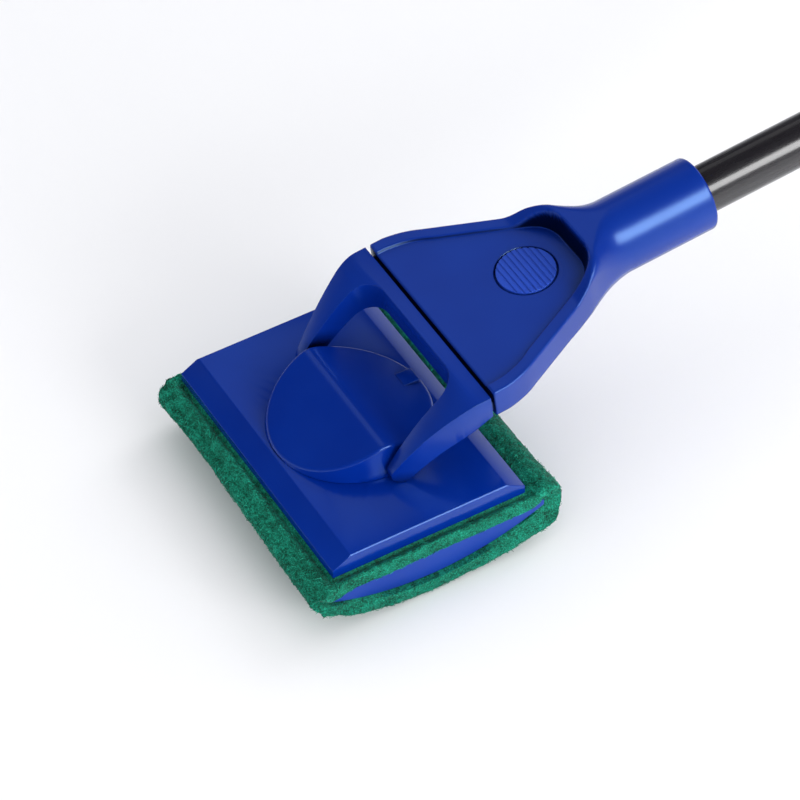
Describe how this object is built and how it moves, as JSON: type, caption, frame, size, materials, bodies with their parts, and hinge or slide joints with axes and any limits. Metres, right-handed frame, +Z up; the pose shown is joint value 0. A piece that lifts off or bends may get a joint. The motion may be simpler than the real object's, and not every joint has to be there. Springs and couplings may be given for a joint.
{
  "type": "aquarium scrub pad tool",
  "caption": "Scouring pad on a lens-shaped core under a clamp plate, with a swivelling, tilting yoke, a push-button connector and a tubular pole with a hanging cap.",
  "frame": {"origin": "the pad's lowest line, under the centre of the clamp plate", "axes": "+X towards the handle, +Y along the tilt axis, +Z up, away from the working face"},
  "size_m": [0.3884, 0.097, 0.0878],
  "materials": {
    "blue_plastic": "glossy moulded",
    "pad_green": "coarse nonwoven fibre",
    "pole_black": "glossy",
    "fitting_black": "satin",
    "screw_steel": "satin",
    "seal_rubber": "matt"
  },
  "bodies": {
    "head": {"clamp_plate": "blue_plastic", "pad_core": "blue_plastic", "scouring_pad": "pad_green", "core_screws": "screw_steel"},
    "turret": {"swivel_turret": "blue_plastic", "swivel_retainer": "screw_steel", "swivel_screws": "screw_steel", "friction_ring": "seal_rubber"},
    "handle": {"yoke": "blue_plastic", "pivot_rod": "screw_steel", "connector_shell": "blue_plastic", "connector_cover": "blue_plastic", "cover_screws": "screw_steel", "button_spring": "screw_steel", "pole_tube": "pole_black", "tube_plug": "fitting_black", "pole_screw": "screw_steel", "joiner_insert": "fitting_black", "cap_seal": "seal_rubber", "end_cap": "fitting_black"},
    "button": {"release_button": "blue_plastic", "latch_plate": "screw_steel"}
  },
  "joints": [
    {"name": "head_swivel", "type": "hinge", "parent": "head", "child": "turret", "pos_m": [0, 0, 0.0255], "axis": [0, 0, 1], "continuous": true},
    {"name": "head_tilt", "type": "hinge", "parent": "turret", "child": "handle", "pos_m": [0.0008, 0, 0.0289], "axis": [0, -1, 0], "range_deg": [-15, 120]},
    {"name": "button_press", "type": "slide", "parent": "handle", "child": "button", "axis": [0.1045, 0, -0.9945], "range_m": [0, 0.0024], "deforming": ["button_spring"]}
  ]
}
